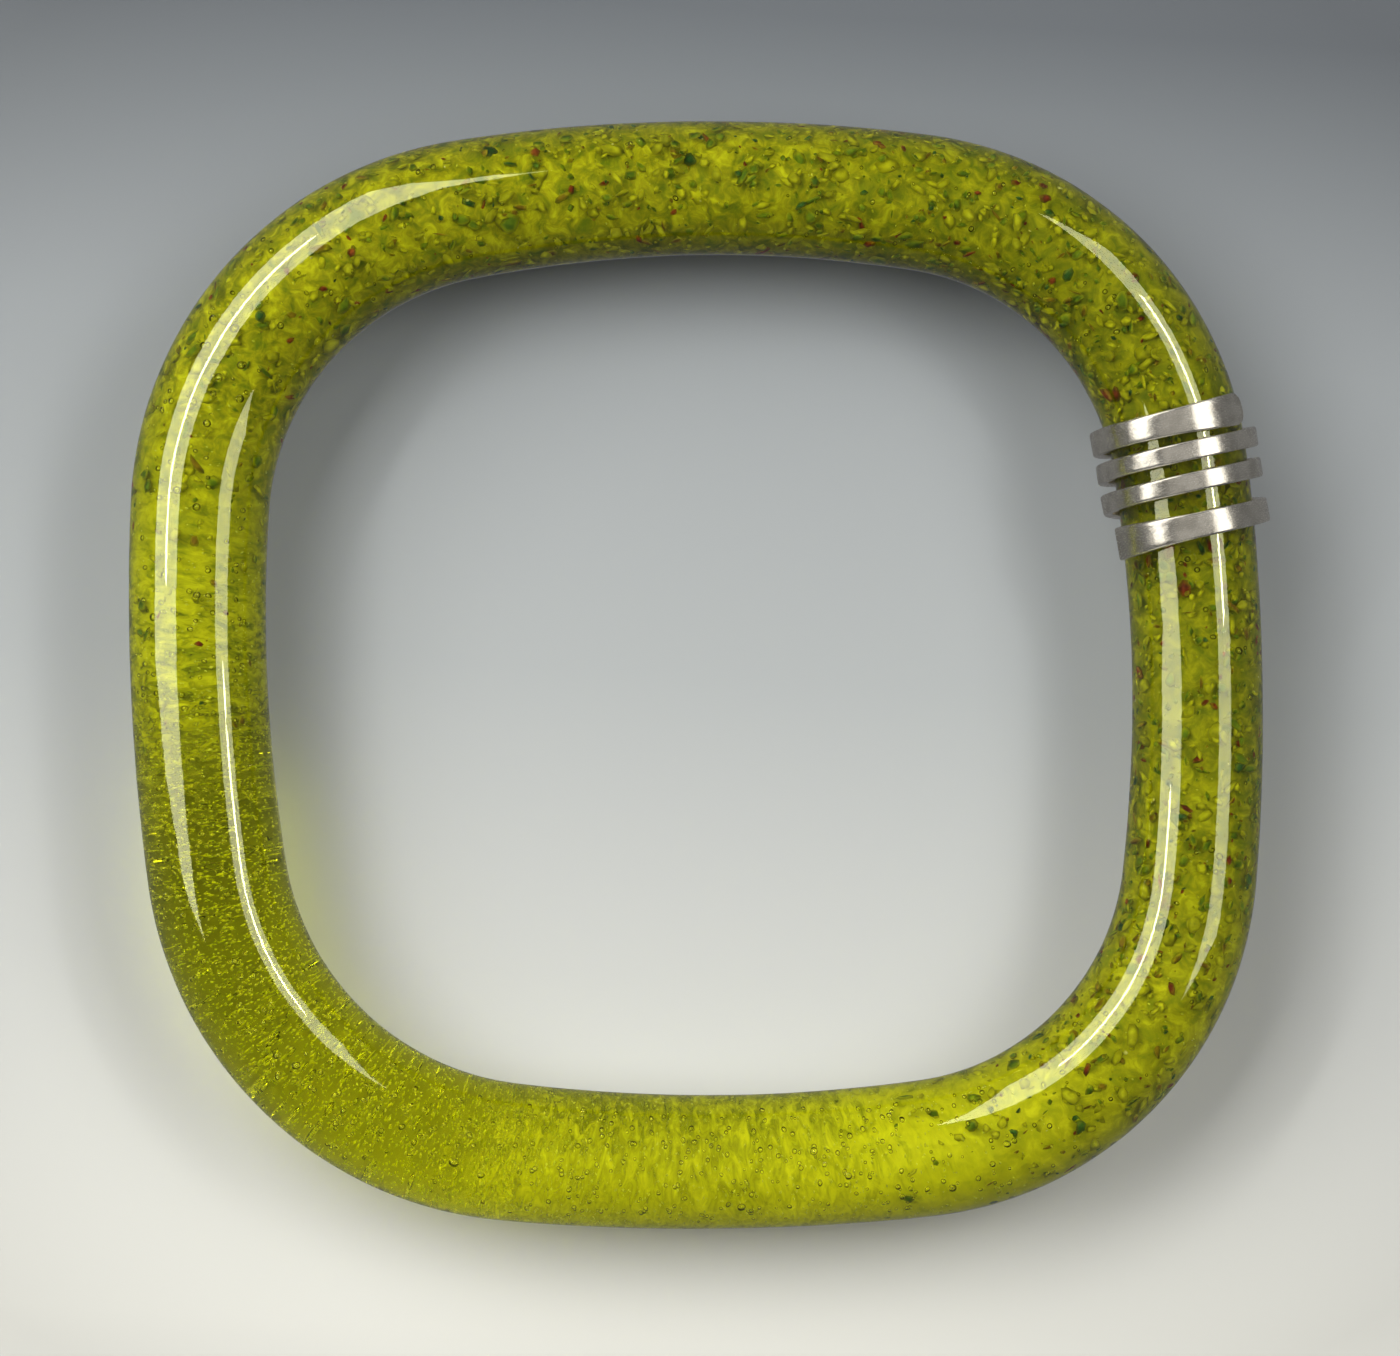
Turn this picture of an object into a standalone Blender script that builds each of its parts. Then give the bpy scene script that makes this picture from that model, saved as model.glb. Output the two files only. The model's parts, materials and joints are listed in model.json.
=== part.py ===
"""Bangle bracelet: a solid ring of glass rod with a loose coil of flattened silver wire round it.

Metres, +Z up. The bangle lies flat: the origin is the middle of its wrist opening, in the plane
of the rod's centreline, and seen from above +X is its right side and +Y is its far side.
"""

import math
from collections import namedtuple

import bmesh
import bpy
from mathutils import Matrix, Vector

# The glass ring.
RING_WIDTH = 0.0833  # along X, over the glass
RING_DEPTH = 0.0814  # along Y, over the glass
ROD_DIAMETER = 0.0101  # the rod's mean thickness
CORNER_FULLNESS = 0.00012  # the hand-bent rod's radius grows by this at the corners
LEFT_FULLNESS = 0.00011  # and by this at the left side, which the right side lacks

# The centreline is eight arcs that run smoothly into each other: four long, flat sides, each
# bowed outwards, and four corners. A side's apex is its outermost point, moved off the ring's
# middle line by apex_shift.
Side = namedtuple("Side", "outward bow_radius apex_shift")
SIDES = (
    Side(outward=0, bow_radius=0.127, apex_shift=-0.0025),  # right
    Side(outward=90, bow_radius=0.108, apex_shift=0.0014),  # far
    Side(outward=180, bow_radius=0.136, apex_shift=0.0052),  # left
    Side(outward=270, bow_radius=0.135, apex_shift=0.0004),  # near
)
# Corner radii on the centreline, each one between a side and the next.
CORNER_RADII = (0.0222, 0.0233, 0.0241, 0.0221)

# The silver coil.
COIL_DISTANCE = 0.0171  # from the right side's apex to the coil's middle, along the rod
COIL_CLEARANCE = 0.00012  # least gap between the rod and the wire, all the way round
WIRE_THICKNESS = 0.0008
WIRE_WIDTH = 0.0014
WIRE_SWELL = 0.0005  # added width near each end of the wire
WIRE_SWELL_TURNS = 1.1  # how far from the end the swell starts
END_FLARE = 0.0005  # added width at the hammered ends
END_FLARE_TURNS = 0.2
EDGE_ROUNDING = 0.00018  # the wire's worn long edges
TAB_START = -0.19  # the wire's lower end, in turns from where it first crosses the rod's top
PADDLE_END = 3.15  # and its upper end
PADDLE_ROUNDING = 0.0009  # the upper end is rounded, the lower one is cut square
FRONT_CLIMB = 0.0010  # what a turn climbs along the rod as it crosses over the top
STRAND_GAPS = (0.0015, 0.00085, 0.00058)  # between one crossing's edge and the next

# Fineness of the meshes.
RING_STATIONS = 120
ROD_SIDES = 24
STATIONS_PER_TURN = 36

Arc = namedtuple("Arc", "centre radius start sweep")


def unit(angle):
    """The direction at this angle, in the ring's plane."""
    return Vector((math.cos(angle), math.sin(angle), 0.0))


def smooth(share):
    """0 below 0, 1 above 1, and an easy curve between."""
    share = min(max(share, 0.0), 1.0)
    return share * share * (3.0 - 2.0 * share)


def rod_radius(angle):
    """The rod's radius where the ring is seen at this angle from its middle."""
    corners = CORNER_FULLNESS * math.cos(4.0 * angle)
    left = LEFT_FULLNESS * math.cos(angle)
    return ROD_DIAMETER / 2 - corners - left


def side_centre(side):
    """The centre of a side's arc. The glass outside its apex reaches the ring's full width or depth."""
    angle = math.radians(side.outward)
    size = RING_WIDTH if side.outward % 180 == 0 else RING_DEPTH
    apex = size / 2 - rod_radius(angle)
    across = Vector((0, 1, 0)) if side.outward % 180 == 0 else Vector((1, 0, 0))
    return unit(angle) * (apex - side.bow_radius) + across * side.apex_shift


def corner_centre(before, after, radius):
    """The centre of the arc of this radius that runs smoothly into the sides before and after it."""
    first, second = side_centre(before), side_centre(after)
    to_first, to_second = before.bow_radius - radius, after.bow_radius - radius
    between = second - first
    along = (to_first**2 - to_second**2 + between.length_squared) / (2 * between.length)
    aside = math.sqrt(to_first**2 - along**2)
    forward = between.normalized()
    square = Vector((0, 0, 1)).cross(forward)
    return first + forward * along + square * aside


def ring_arcs():
    """The centreline's arcs, anticlockwise, starting at the right side's apex."""
    count = len(SIDES)
    centres = [
        corner_centre(SIDES[i], SIDES[(i + 1) % count], CORNER_RADII[i]) for i in range(count)
    ]
    joins = []
    for i, side in enumerate(SIDES):
        for corner in (centres[i - 1], centres[i]):
            outward = corner - side_centre(side)
            joins.append(math.atan2(outward.y, outward.x))
    arcs = []
    for i, side in enumerate(SIDES):
        start, end = joins[2 * i], joins[2 * i + 1]
        arcs.append(Arc(side_centre(side), side.bow_radius, start, (end - start) % math.tau))
        turn = (joins[(2 * i + 2) % len(joins)] - end) % math.tau
        arcs.append(Arc(centres[i], CORNER_RADII[i], end, turn))
    # The right side is split at its apex, so that distances are counted from there.
    right = arcs[0]
    below = -right.start % math.tau
    arcs[0] = Arc(right.centre, right.radius, 0.0, right.sweep - below)
    arcs.append(Arc(right.centre, right.radius, right.start, below))
    return arcs


def ring_length():
    return sum(arc.radius * arc.sweep for arc in ring_arcs())


def ring_station(distance):
    """The centreline's point this far along, and the outward direction there."""
    distance %= ring_length()
    for arc in ring_arcs():
        if distance <= arc.radius * arc.sweep:
            break
        distance -= arc.radius * arc.sweep
    outward = unit(arc.start + distance / arc.radius)
    return arc.centre + outward * arc.radius, outward


def rod_radius_at(point):
    return rod_radius(math.atan2(point.y, point.x))


def wire_width(turn):
    """The flattened wire's width, this many turns along it."""
    to_end = min(turn - TAB_START, PADDLE_END - turn)
    swell = WIRE_SWELL * smooth(1 - to_end / WIRE_SWELL_TURNS)
    flare = END_FLARE * smooth(1 - to_end / END_FLARE_TURNS)
    return WIRE_WIDTH + swell + flare


def crossing(index):
    """How far along the rod the wire's middle crosses the top for this time, counted from the first."""
    along = 0.0
    for i in range(index):
        along += (wire_width(i) + wire_width(i + 1)) / 2 + STRAND_GAPS[i]
    return along


def wire_climb(turn):
    """How far along the rod the wire's middle is, this many turns along it."""
    last = len(STRAND_GAPS)
    index = min(max(round(turn), 0), last)
    here = crossing(index)
    slope = 2 * FRONT_CLIMB
    if abs(turn - index) <= 0.25 or not 0 <= turn <= last:
        return here + slope * (turn - index)
    # Behind the rod the wire steps up from one crossing's end to the start of the next.
    below = math.floor(turn)
    start = crossing(below) + slope * 0.25
    end = crossing(below + 1) - slope * 0.25
    share = (turn - below - 0.25) / 0.5
    eased = 0.5 * share + 0.5 * smooth(share)
    return start + (end - start) * eased


def coil_ends():
    """The coil's lower and upper edges, along the rod from where the wire first crosses the top."""
    lower = wire_climb(TAB_START) - wire_width(TAB_START) / 2
    upper = wire_climb(PADDLE_END) + wire_width(PADDLE_END) / 2
    return lower, upper


def coil_axis():
    """The straight line that the bent rod strays from least over the coil's length, as middle and direction."""
    lower, upper = coil_ends()
    reach = (upper - lower) / 2
    start, _ = ring_station(COIL_DISTANCE - reach)
    middle, _ = ring_station(COIL_DISTANCE)
    end, _ = ring_station(COIL_DISTANCE + reach)
    return ((start + end) / 2 + middle) / 2, (end - start).normalized()


def coil_bore_radius():
    """The wire clears the rod by the clearance everywhere, also when the coil has turned."""
    lower, upper = coil_ends()
    middle, direction = coil_axis()
    reach = (upper - lower) / 2
    most = 0.0
    for i in range(41):
        point, _ = ring_station(COIL_DISTANCE - reach + reach * i / 20)
        stray = (point - middle).cross(direction).length
        most = max(most, stray + rod_radius_at(point))
    return most + COIL_CLEARANCE


def add_object(name, rings, closed, material):
    """An object of rings of points, each bridged to the next. An open row of rings gets end caps."""
    mesh = bpy.data.meshes.new(name)
    bm = bmesh.new()
    rows = [[bm.verts.new(point) for point in ring] for ring in rings]
    for i in range(len(rows) if closed else len(rows) - 1):
        here, there = rows[i], rows[(i + 1) % len(rows)]
        for j, vert in enumerate(here):
            k = (j + 1) % len(here)
            bm.faces.new((vert, here[k], there[k], there[j]))
    if not closed:
        bm.faces.new(rows[0])
        bm.faces.new(rows[-1])
    bmesh.ops.recalc_face_normals(bm, faces=bm.faces)
    bm.to_mesh(mesh)
    bm.free()
    mesh.shade_smooth()
    mesh.set_sharp_from_angle(angle=math.radians(40))
    mesh.materials.append(material)
    obj = bpy.data.objects.new(name, mesh)
    bpy.context.scene.collection.objects.link(obj)
    return obj


def make_material(name, colour, roughness, metallic, transmission=0.0):
    material = bpy.data.materials.new(name)
    material.use_nodes = True
    shader = material.node_tree.nodes["Principled BSDF"]
    shader.inputs["Base Color"].default_value = (*colour, 1.0)
    shader.inputs["Roughness"].default_value = roughness
    shader.inputs["Metallic"].default_value = metallic
    shader.inputs["Transmission Weight"].default_value = transmission
    return material


def make_glass_ring():
    """The rod's round section, carried once round the centreline."""
    rings = []
    for i in range(RING_STATIONS):
        point, outward = ring_station(ring_length() * i / RING_STATIONS)
        radius = rod_radius_at(point)
        ring = []
        for j in range(ROD_SIDES):
            angle = math.tau * j / ROD_SIDES
            ring.append(point + radius * (outward * math.cos(angle) + Vector((0, 0, math.sin(angle)))))
        rings.append(ring)
    glass = make_material("olive_glass", (0.42, 0.40, 0.02), 0.03, 0.0, transmission=1.0)
    return add_object("glass_ring", rings, True, glass)


def wire_section(width):
    """The wire's cut face: a rectangle with rounded edges, as (along the rod, off the bore) pairs."""
    half, edge, thick = width / 2, EDGE_ROUNDING, WIRE_THICKNESS
    return [
        (-half + edge, 0.0),
        (half - edge, 0.0),
        (half, edge),
        (half, thick - edge),
        (half - edge, thick),
        (-half + edge, thick),
        (-half, thick - edge),
        (-half, edge),
    ]


def paddle_share(back):
    """How much of the wire's width is left this far back from the rounded end."""
    if back >= PADDLE_ROUNDING:
        return 1.0
    inward = 1.0 - back / PADDLE_ROUNDING
    return 0.35 + 0.65 * math.sqrt(1.0 - inward * inward)


def make_silver_coil():
    """The wire's section, carried along a helix whose axis is the coil's own Z."""
    bore = coil_bore_radius()
    lower, upper = coil_ends()
    middle_along = (lower + upper) / 2
    length = math.tau * (bore + WIRE_THICKNESS / 2)
    count = round((PADDLE_END - TAB_START) * STATIONS_PER_TURN)
    turns = [TAB_START + (PADDLE_END - TAB_START) * i / count for i in range(count)]
    turns = [turn for turn in turns if (PADDLE_END - turn) * length > PADDLE_ROUNDING]
    for share in (1.0, 0.7, 0.4, 0.18, 0.05, 0.0):
        turns.append(PADDLE_END - share * PADDLE_ROUNDING / length)
    rings = []
    for turn in turns:
        # The wire starts at the top, over +Y, and runs right-handed round +Z.
        angle = math.radians(90) + math.tau * turn
        out = unit(angle)
        rise = (wire_climb(turn + 0.01) - wire_climb(turn - 0.01)) / (0.02 * length)
        lean = math.atan(rise)
        aside = unit(angle + math.radians(90))
        across = Vector((0, 0, 1)) * math.cos(lean) - aside * math.sin(lean)
        width = wire_width(turn) * paddle_share((PADDLE_END - turn) * length)
        base = out * bore + Vector((0, 0, wire_climb(turn) - middle_along))
        rings.append([base + across * along + out * off for along, off in wire_section(width)])
    silver = make_material("planished_silver", (0.78, 0.75, 0.70), 0.32, 1.0)
    coil = add_object("silver_coil", rings, False, silver)
    middle, direction = coil_axis()
    # The coil's Z runs along the rod, and its Y points up from the table.
    up = Vector((0, 0, 1))
    side = up.cross(direction)
    turned = Matrix((side, up, direction)).transposed().to_4x4()
    coil.matrix_world = Matrix.Translation(middle) @ turned
    return coil


for old in list(bpy.data.objects):
    bpy.data.objects.remove(old)
make_glass_ring()
make_silver_coil()
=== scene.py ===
import json
import math

import bmesh
import bpy
import numpy as np
from mathutils import Matrix, Vector


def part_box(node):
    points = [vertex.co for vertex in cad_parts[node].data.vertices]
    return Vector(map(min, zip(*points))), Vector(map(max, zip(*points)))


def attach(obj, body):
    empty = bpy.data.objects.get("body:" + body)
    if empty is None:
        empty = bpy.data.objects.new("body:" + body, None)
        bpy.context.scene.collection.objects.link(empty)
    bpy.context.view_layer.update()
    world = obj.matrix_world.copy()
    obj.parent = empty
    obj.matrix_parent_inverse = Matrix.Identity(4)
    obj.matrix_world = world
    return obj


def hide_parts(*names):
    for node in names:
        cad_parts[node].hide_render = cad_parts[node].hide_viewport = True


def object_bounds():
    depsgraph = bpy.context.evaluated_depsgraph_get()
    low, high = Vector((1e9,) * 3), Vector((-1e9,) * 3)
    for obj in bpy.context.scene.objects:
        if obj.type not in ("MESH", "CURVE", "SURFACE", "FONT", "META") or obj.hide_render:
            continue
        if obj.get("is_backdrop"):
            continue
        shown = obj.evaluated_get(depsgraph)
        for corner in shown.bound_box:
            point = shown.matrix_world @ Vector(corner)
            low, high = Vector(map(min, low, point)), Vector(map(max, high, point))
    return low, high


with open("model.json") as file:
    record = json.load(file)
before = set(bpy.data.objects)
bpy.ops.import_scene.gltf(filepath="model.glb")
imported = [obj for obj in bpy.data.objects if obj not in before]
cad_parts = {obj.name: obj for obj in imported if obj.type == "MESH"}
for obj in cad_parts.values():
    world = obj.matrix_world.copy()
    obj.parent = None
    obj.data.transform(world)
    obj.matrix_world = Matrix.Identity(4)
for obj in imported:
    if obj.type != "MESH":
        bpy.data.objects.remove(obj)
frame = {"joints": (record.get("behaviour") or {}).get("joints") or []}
cad_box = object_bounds()

# ---------------------------------------------------------------------------------------------
# The glass ring: one solid rod of transparent olive-yellow glass, drawn hot and bent by hand to a
# rounded square until its ends fused. It was fire-polished, so the skin is glossy and gently wavy.
# ---------------------------------------------------------------------------------------------
ring_low, ring_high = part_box("glass_ring")
RING_WIDTH = ring_high.x - ring_low.x
RING_DEPTH = ring_high.y - ring_low.y
ROD_DIAMETER = 0.0101
CORNER_FULLNESS = 0.00012  # the rod is this much fuller at the corners
LEFT_FULLNESS = 0.00011  # and at the left side, which the right side lacks
SKIN = 0.00003  # the fine mesh keeps this far inside the CAD solid
# Each side as its outward angle, how flat it is bowed, and where its outermost point lies.
SIDES = ((0, 0.127, -0.0025), (90, 0.108, 0.0014), (180, 0.136, 0.0052), (270, 0.135, 0.0004))
CORNER_RADII = (0.0222, 0.0233, 0.0241, 0.0221)
RING_STATIONS = 560
ROD_SIDES = 56
ARC_STEPS = 200  # for each arc of the centreline


def rod_radius(angle):
    """The rod's radius where the ring is seen at this angle from its middle."""
    corners = CORNER_FULLNESS * np.cos(4 * angle)
    return ROD_DIAMETER / 2 - corners - LEFT_FULLNESS * np.cos(angle)


def side_centre(outward, bow, shift):
    """The centre of the arc that one side of the centreline follows."""
    angle = math.radians(outward)
    size = RING_WIDTH if outward % 180 == 0 else RING_DEPTH
    off = size / 2 - rod_radius(angle) - bow
    across = (0.0, shift) if outward % 180 == 0 else (shift, 0.0)
    return Vector((math.cos(angle) * off + across[0], math.sin(angle) * off + across[1]))


def corner_centre(before, after, radius):
    """The centre of the corner arc that runs smoothly into the sides before and after it."""
    first, second = side_centre(*before), side_centre(*after)
    to_first, to_second = before[1] - radius, after[1] - radius
    between = second - first
    along = (to_first**2 - to_second**2 + between.length_squared) / (2 * between.length)
    aside = math.sqrt(to_first**2 - along**2)
    forward = between.normalized()
    return first + forward * along + Vector((-forward.y, forward.x)) * aside


def centreline():
    """The centreline as distances, points and outward angles, anticlockwise from the right apex."""
    corners = [corner_centre(SIDES[i], SIDES[(i + 1) % 4], CORNER_RADII[i]) for i in range(4)]
    joins = []
    for i, side in enumerate(SIDES):
        for corner in (corners[i - 1], corners[i]):
            outward = corner - side_centre(*side)
            joins.append(math.atan2(outward.y, outward.x))
    arcs = []
    for i, side in enumerate(SIDES):
        start, end, following = joins[2 * i], joins[2 * i + 1], joins[(2 * i + 2) % 8]
        arcs.append((side_centre(*side), side[1], start, (end - start) % math.tau))
        arcs.append((corners[i], CORNER_RADII[i], end, (following - end) % math.tau))
    centre, radius, start, sweep = arcs[0]
    arcs[0] = (centre, radius, 0.0, sweep + start)
    arcs.append((centre, radius, start, -start))
    distances, points, outwards, done, turned = [], [], [], 0.0, 0.0
    for centre, radius, start, sweep in arcs:
        steps = np.linspace(0, 1, ARC_STEPS, endpoint=False) * sweep
        angles = start + steps
        distances.append(done + steps * radius)
        points.append(np.c_[centre.x + radius * np.cos(angles), centre.y + radius * np.sin(angles)])
        outwards.append(turned + steps)
        done += sweep * radius
        turned += sweep
    distances.append([done])
    points.append(points[0][:1])
    outwards.append([turned])
    return np.concatenate(distances), np.concatenate(points), np.concatenate(outwards)


line_distance, line_point, line_outward = centreline()
RING_LENGTH = line_distance[-1]


def rod_place(distance, around, depth):
    """Points in the rod: this far along it, at this angle round its section, at this share of its radius."""
    distance = np.mod(distance, RING_LENGTH)
    x = np.interp(distance, line_distance, line_point[:, 0])
    y = np.interp(distance, line_distance, line_point[:, 1])
    turn = np.interp(distance, line_distance, line_outward)
    radius = (rod_radius(np.arctan2(y, x)) - SKIN) * depth
    out = radius * np.cos(around)
    return np.stack([x + out * np.cos(turn), y + out * np.sin(turn), radius * np.sin(around)], -1)


def hand_wave(distance, around):
    """The rod's unevenness from hand shaping, from 0 to 1, the same after once round."""
    lap = math.tau * distance / RING_LENGTH
    wave = 0.30 * np.sin(5 * lap + 1.3 + np.sin(around)) + 0.25 * np.sin(13 * lap + 2 * around)
    wave += 0.20 * np.sin(29 * lap - around + 0.6) + 0.12 * np.sin(47 * lap + 3 * around + 2.0)
    wave += 0.08 * np.sin(83 * lap - 2 * around)
    return 0.5 + 0.5 * wave


def make_object(name, points, faces, smooth=True):
    """A mesh object of these points and faces."""
    mesh = bpy.data.meshes.new(name)
    mesh.from_pydata(points.tolist(), [], [list(face) for face in faces])
    mesh.polygons.foreach_set("use_smooth", [smooth] * len(mesh.polygons))
    mesh.update()
    obj = bpy.data.objects.new(name, mesh)
    bpy.context.scene.collection.objects.link(obj)
    return obj


HAND_WAVE = 0.007  # the deepest hollow, as a share of the rod's radius
station = np.repeat(np.arange(RING_STATIONS), ROD_SIDES)
corner = np.tile(np.arange(ROD_SIDES), RING_STATIONS)
distance = RING_LENGTH * station / RING_STATIONS
around = math.tau * corner / ROD_SIDES
points = rod_place(distance, around, 1 - HAND_WAVE * hand_wave(distance, around))
next_station = (station + 1) % RING_STATIONS
next_corner = (corner + 1) % ROD_SIDES
faces = np.stack([
    station * ROD_SIDES + corner,
    station * ROD_SIDES + next_corner,
    next_station * ROD_SIDES + next_corner,
    next_station * ROD_SIDES + corner,
], -1)
glass_rod = make_object("glass_rod", points, faces[:, ::-1])


def new_group(name, inputs, outputs):
    """A shader node group with these named inputs, as (name, type, value), and outputs, as (name, type)."""
    group = bpy.data.node_groups.new(name, "ShaderNodeTree")
    for label, kind, value in inputs:
        socket = group.interface.new_socket(label, in_out="INPUT", socket_type=kind)
        socket.default_value = value
    for label, kind in outputs:
        group.interface.new_socket(label, in_out="OUTPUT", socket_type=kind)
    return group, group.nodes.new("NodeGroupInput").outputs, group.nodes.new("NodeGroupOutput").inputs


def add_node(tree, kind, settings=(), **inputs):
    """A node of this kind. Inputs are named with _ for a space, and hold values or sockets to link."""
    node = tree.nodes.new(kind)
    for key, value in dict(settings).items():
        setattr(node, key, value)
    for key, value in inputs.items():
        socket = node.inputs[int(key[1:])] if key[1:].isdigit() else node.inputs[key.replace("_", " ")]
        if isinstance(value, bpy.types.NodeSocket):
            tree.links.new(value, socket)
        else:
            socket.default_value = value
    return node


def math_node(tree, operation, first, second=0.0):
    """The result of this sum on two sockets or numbers."""
    return add_node(tree, "ShaderNodeMath", {"operation": operation}, i0=first, i1=second).outputs[0]


def remap(tree, value, low, high, to_low=0.0, to_high=1.0):
    """value, with low to high spread over to_low to to_high."""
    node = add_node(tree, "ShaderNodeMapRange", i0=value, i1=low, i2=high, i3=to_low, i4=to_high)
    return node.outputs[0]


def mix_colour(tree, share, first, second):
    """The first colour, with this share of the second. A colour is a socket or three numbers."""
    first, second = [(*c, 1) if isinstance(c, tuple) else c for c in (first, second)]
    return add_node(tree, "ShaderNodeMix", {"data_type": "RGBA"}, i0=share, i6=first, i7=second).outputs[2]


# Handling marks: hairline scratches that cross each other, and specks, on any polished skin.
marks, given, made = new_group(
    "handling_marks",
    [("Vector", "NodeSocketVector", (0, 0, 0)), ("Scale", "NodeSocketFloat", 900.0),
     ("Amount", "NodeSocketFloat", 0.5)],
    [("Mask", "NodeSocketFloat"), ("Height", "NodeSocketFloat")],
)
masks = []
for turn, stretch in ((0.5, 0.05), (2.1, 0.08)):
    turned = add_node(marks, "ShaderNodeMapping", {"vector_type": "TEXTURE"}, Vector=given["Vector"],
                      Rotation=(0.3, 0.2, turn), Scale=(1.0, stretch, stretch))
    lines = add_node(marks, "ShaderNodeTexNoise", Vector=turned.outputs[0], Scale=given["Scale"],
                     Detail=2.0, Roughness=0.7)
    masks.append(remap(marks, lines.outputs["Fac"], 0.66, 0.74))
specks = add_node(marks, "ShaderNodeTexNoise", Vector=given["Vector"], Scale=given["Scale"], Detail=3.0)
masks.append(remap(marks, specks.outputs["Fac"], 0.70, 0.78))
mark = math_node(marks, "MAXIMUM", math_node(marks, "MAXIMUM", masks[0], masks[1]), masks[2])
mark = math_node(marks, "MULTIPLY", mark, given["Amount"])
marks.links.new(mark, made["Mask"])
marks.links.new(math_node(marks, "SUBTRACT", 1.0, mark), made["Height"])


def new_material(name):
    """An empty material with its own coordinates, in metres, and its output."""
    material = bpy.data.materials.new(name)
    material.use_nodes = True
    tree = material.node_tree
    tree.nodes.clear()
    place = tree.nodes.new("ShaderNodeTexCoord").outputs["Object"]
    return material, tree, place, tree.nodes.new("ShaderNodeOutputMaterial").inputs


GLASS_TINT = (1.0, 1.0, 0.62)
GLASS_TINT_DEEP = (0.985, 0.99, 0.42)
GLASS_IOR = 1.54
GLASS_SHINE_TINT = (1.0, 0.99, 0.66)  # reflections leave through the coloured skin
GLASS_DEPTH_COLOUR = (0.985, 0.989, 0.05)  # what is left of light, at GLASS_DENSITY per metre
GLASS_DENSITY = 330.0


def glass_skin(tree, place):
    """The surface of the fire-polished glass: a Principled shader with cords, waves and handling marks."""
    cords = add_node(tree, "ShaderNodeTexNoise", Vector=place, Scale=160.0, Detail=3.0, Distortion=0.8)
    tint = mix_colour(tree, remap(tree, cords.outputs["Fac"], 0.35, 0.7), GLASS_TINT, GLASS_TINT_DEEP)
    worn = add_node(tree, "ShaderNodeGroup", {"node_tree": marks}, Vector=place, Scale=700.0, Amount=0.6)
    waves = add_node(tree, "ShaderNodeTexNoise", Vector=place, Scale=110.0, Detail=1.0)
    wavy = add_node(tree, "ShaderNodeBump", Strength=0.5, Distance=0.00010, Height=waves.outputs["Fac"])
    scratched = add_node(tree, "ShaderNodeBump", Strength=0.06, Distance=0.000006,
                         Height=worn.outputs["Height"], Normal=wavy.outputs[0])
    return add_node(
        tree, "ShaderNodeBsdfPrincipled", Base_Color=tint,
        Roughness=remap(tree, worn.outputs["Mask"], 0.0, 1.0, 0.008, 0.08), IOR=GLASS_IOR,
        Specular_Tint=(*GLASS_SHINE_TINT, 1), Transmission_Weight=1.0, Normal=scratched.outputs[0],
    ).outputs[0]


glass, tree, place, out = new_material("olive_glass")
tree.links.new(glass_skin(tree, place), out["Surface"])
depth = add_node(tree, "ShaderNodeVolumeAbsorption", Color=(*GLASS_DEPTH_COLOUR, 1),
                 Density=GLASS_DENSITY)
tree.links.new(depth.outputs[0], out["Volume"])
glass_rod.data.materials.append(glass)
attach(glass_rod, "ring")
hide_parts("glass_ring")

# ---------------------------------------------------------------------------------------------
# The chips: crushed coloured glass that the hot rod was rolled in before its last gather of clear
# glass. Most are yellow and green, the rest brown, red and teal, and all have softened in the heat.
# A few pale specks among them are painted glints. The chips thin out along the left side and stop at
# the near right corner.
# ---------------------------------------------------------------------------------------------
def closed_shape(maker, **settings):
    """A closed unit shape that bmesh makes, as points and faces."""
    bm = bmesh.new()
    maker(bm, **settings)
    bm.verts.index_update()
    points = np.array([vert.co[:] for vert in bm.verts])
    faces = np.array([[vert.index for vert in face.verts] for face in bm.faces])
    bm.free()
    return points, faces


splinter = closed_shape(bmesh.ops.create_icosphere, subdivisions=1, radius=1.0)
speck = closed_shape(bmesh.ops.create_uvsphere, u_segments=4, v_segments=2, radius=1.0)
ball = closed_shape(bmesh.ops.create_icosphere, subdivisions=2, radius=1.0)


def angle_seen(distance):
    """The angle in degrees, from the ring's middle, of the rod this far along it."""
    place = rod_place(distance, 0.0, 0.0)
    return np.degrees(np.arctan2(place[..., 1], place[..., 0])) % 360


def chip_share(distance):
    """How thickly the chips lie, this far along the rod, from 0 to 1."""
    return np.interp(angle_seen(distance), (0, 126, 142, 155, 176, 190, 288, 300, 314, 360),
                     (1, 1, 0.65, 0.35, 0.25, 0, 0, 0.25, 1, 1))


def dark_share(distance):
    """The darker chips lie a little thicker on the right side than on the far side."""
    return chip_share(distance) * np.interp(angle_seen(distance), (0, 60, 95, 310, 345, 360),
                                            (1, 1, 0.65, 0.65, 1, 1))


NEAR = 0.0005  # a short way along the rod, to find its direction


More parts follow.
